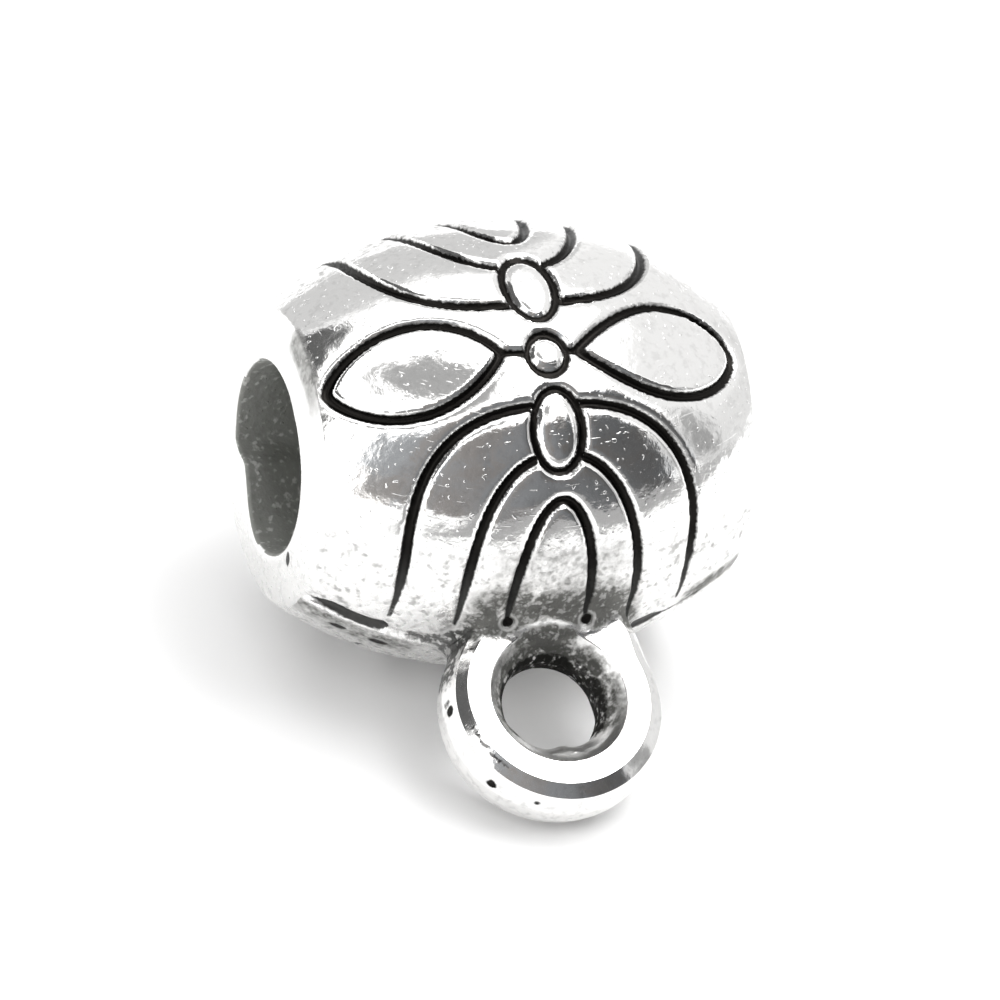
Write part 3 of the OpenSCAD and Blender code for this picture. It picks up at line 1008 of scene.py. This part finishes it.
def skin_colour(skin):
    """Silver with black and painted shade, the grey of the bore, dust and glints, then grooves, pits and
    thick black with painted shade.
    """
    # worn black mixed in, at the roots and over the loop also painted shade
    worn_black_and_shade = skin.black.mix(SILVER, OLD_BLACK_AND_SHADE)
    worn_black_and_shade = (skin.in_bore * (0.75 + 0.5 * skin.patch)).mix(worn_black_and_shade, BORE_GREY)
    dusty = (skin.specks * (1 - 0.5 * skin.black) + 0.07 * skin.on_end).mix(worn_black_and_shade, DUSTY)
    glints = skin.spot.step(0.56, 0.7) * (0.35 + 0.1 * skin.in_bore) * (1 - 0.4 * skin.in_hole)
    bright = (glints * skin.black).most(skin.rim * 0.4).mix(dusty, SILVER)
    filling = (skin.greyed * (1 - skin.pit)).mix(BLACK, CREVICE_GREY)
    # the thick black, partly painted shade, takes the grooves' black fill
    return skin.groove.most(skin.pit).most(skin.sooted).mix(bright, filling)


def skin_roughness(skin):
    rough = 0.11 + 0.15 * skin.frost + 0.3 * skin.black + 0.2 * skin.groove + 0.2 * skin.specks
    rough = rough + 0.2 * skin.on_wall + 0.2 * skin.in_hole + 0.25 * skin.in_bore
    return rough + (skin.grain - 0.5) * 0.1


def skin_height(start, skin):
    """Height of the bump in mm. Each noise has a depth, which grows where the skin is rugged or black."""
    rugged = skin.frost * (1 - 0.7 * skin.on_end)
    polished = skin.on_loop * (1 - skin.on_wall) * (1 - skin.in_hole)
    nib = noise(start, 9, 0).step(0.73, 0.82) * (1 - 0.9 * skin.on_loop)
    scratch = (scratches(start, 0.5, 2) + scratches(start, -0.9, 1.4)) * (1 - skin.on_loop)
    patch_depth = 0.008 - 0.005 * polished + 0.006 * rugged
    spot_depth = 0.003 + 0.016 * rugged + 0.01 * skin.black + 0.016 * skin.in_hole + 0.02 * skin.sooted
    grain_depth = 0.001 + 0.007 * rugged + 0.008 * skin.black
    fine_depth = 0.0004 + 0.0016 * rugged
    height = 0.012 * (skin.wave - 0.5) + 0.006 * nib + 0.002 * scratch
    height = height + patch_depth * (skin.patch - 0.5) + spot_depth * (skin.spot - 0.5)
    return height + grain_depth * (skin.grain - 0.5) + fine_depth * (skin.fine - 0.5)


def silver_material():
    material, start, shader = new_material("antique_silver")
    skin = read_skin(start)
    add_masks(start, skin)
    height = skin_height(start, skin)
    bump = start.node("ShaderNodeBump", None, {"Height": height, "Distance": MM, "Strength": 1.0})
    shader.inputs["Metallic"].default_value = 1
    links = start.tree.links
    links.new(skin_colour(skin).socket, shader.inputs["Base Color"])
    links.new(skin_roughness(skin).socket, shader.inputs["Roughness"])
    links.new(bump.socket, shader.inputs["Normal"])
    return material


silver = silver_material()
casting.data.materials.clear()
casting.data.materials.append(silver)
print("nodes in the silver:", len(silver.node_tree.nodes))

# %% [markdown]
# The table and the white tent
#
# The floor is a sheet of white paper on a grey bench, which shows in front of the paper and gives the low
# front its grey. Around it stands a white tent, open towards the camera, and that dark opening is what
# draws the grey patches on the polished front. Grey sheets dim the tent on the right, overhead and behind
# the bail, a dark panel stands on the left and a bright lamp shines through on the right. The tent is the
# world's own light, so it is drawn by direction: how far round from the viewer's side, and how high.

# %% Floor
FLOOR_HALF = 0.9
PAPER_FRONT = 29.0
BENCH_LEFT = -20.0
BENCH = (0.3, 0.3, 0.3, 1)


def floor_mesh():
    across = np.linspace(-FLOOR_HALF, FLOOR_HALF, 9)
    grid = np.stack(np.meshgrid(across, across, [0.0], indexing="ij"), axis=-1).reshape(-1, 3)
    index = np.arange(81).reshape(9, 9)
    faces = np.stack([index[:-1, :-1], index[1:, :-1], index[1:, 1:], index[:-1, 1:]], axis=-1).reshape(-1, 4)
    mesh = bpy.data.meshes.new("floor")
    mesh.from_pydata(grid, [], faces)
    return mesh


def paper_material():
    """White paper with faint clouds, which gives way to the grey bench in front of the viewer."""
    material, start, shader = new_material("white_paper")
    paper = noise(start, 0.02, 2).mix((0.93, 0.93, 0.93, 1), (0.95, 0.95, 0.95, 1))
    place = start.node("ShaderNodeTexCoord", out=3)
    x = start.node("ShaderNodeSeparateXYZ", None, {0: place}, out=0) / MM
    y = start.node("ShaderNodeSeparateXYZ", None, {0: place}, out=1) / MM
    bench = (1 - y.step(-PAPER_FRONT - 4, -PAPER_FRONT + 4)) * x.step(BENCH_LEFT - 6, BENCH_LEFT + 6)
    start.tree.links.new(bench.mix(paper, BENCH).socket, shader.inputs["Base Color"])
    shader.inputs["Roughness"].default_value = 0.9
    shader.inputs["Specular IOR Level"].default_value = 0.1
    return material


floor = bpy.data.objects.new("floor", floor_mesh())
scene.collection.objects.link(floor)
floor.data.materials.append(paper_material())
print("floor of", len(floor.data.polygons), "faces")

# %% Tent
TENT_WHITE = 2.12
OPENING_LEFT = 0.36
OPENING_RIGHT = 0.1
LEFT_PANEL = 0.12
SOFTBOX = 3.6
# share of the light missing low down behind the bail
BEHIND = 0.68
WARM = (1, 0.95, 0.92, 1)
COOL = (0.93, 0.96, 1, 1)
PURE_WHITE = (1, 1, 1, 1)
# share of the light that each grey sheet takes, then from, to and softness, round the viewer and upwards
GREY_SHEETS = [
    (0.56, (62, 154, 6), (-20, 52, 5)),
    (0.12, (60, 124, 6), (-20, 15, 5)),
    (0.8, (-96, -4, 10), (57, 78, 3)),
    (0.75, (30, 100, 12), (74, 86, 4)),
    (0.56, (58, 76, 4), (4, 26, 4)),
]


def tent():
    """World light by direction: around is 0 towards the viewer and grows to the right, height is upwards."""
    world = bpy.data.worlds.new("tent")
    world.use_nodes = True
    start = Wire(world.node_tree)
    direction = start.node("ShaderNodeTexCoord")
    x, y, z = [start.node("ShaderNodeSeparateXYZ", None, {0: direction}, out=axis) for axis in range(3)]
    folds = start.node("ShaderNodeTexNoise", None, {"Vector": direction, "Scale": 3.0, "Detail": 3.0})
    around = start.maths("ARCTAN2", x, 0 - y) * math.degrees(1) + (folds - 0.5) * 14
    height = start.maths("ARCSINE", z) * math.degrees(1) + (folds - 0.5) * 8
    lower_edge = (height + 10 * around.step(-46, -6)).step(-3, 8)
    opening = around.between(-44, 58, 4) * lower_edge * (1 - height.step(45, 51))
    inside = OPENING_LEFT + (OPENING_RIGHT - OPENING_LEFT) * around.step(-48, 55)
    inside = inside * (0.55 + 0.9 * folds)
    left_panel = around.between(-150, -72, 3) * height.between(17, 48, 3)
    softbox = around.between(30, 140, 14) * height.between(56, 82, 6)
    behind = (around.step(148, 160) + (1 - around.step(-156, -146))) * (1 - height.step(36, 54))
    level = TENT_WHITE * (1 - BEHIND * behind)
    for taken, round_span, height_span in GREY_SHEETS:
        level = level * (1 - taken * around.between(*round_span) * height.between(*height_span))
    level = level * (1 - left_panel) + LEFT_PANEL * left_panel + SOFTBOX * softbox
    level = level * (1 - opening) + inside * opening
    tint = opening.mix(PURE_WHITE, folds.step(0.42, 0.6).mix(WARM, COOL))
    background = world.node_tree.nodes["Background"]
    world.node_tree.links.new(level.socket, background.inputs["Strength"])
    world.node_tree.links.new(tint.socket, background.inputs["Color"])
    scene.world = world


tent()
scene.view_settings.view_transform = "Standard"
print("tent nodes:", len(scene.world.node_tree.nodes))
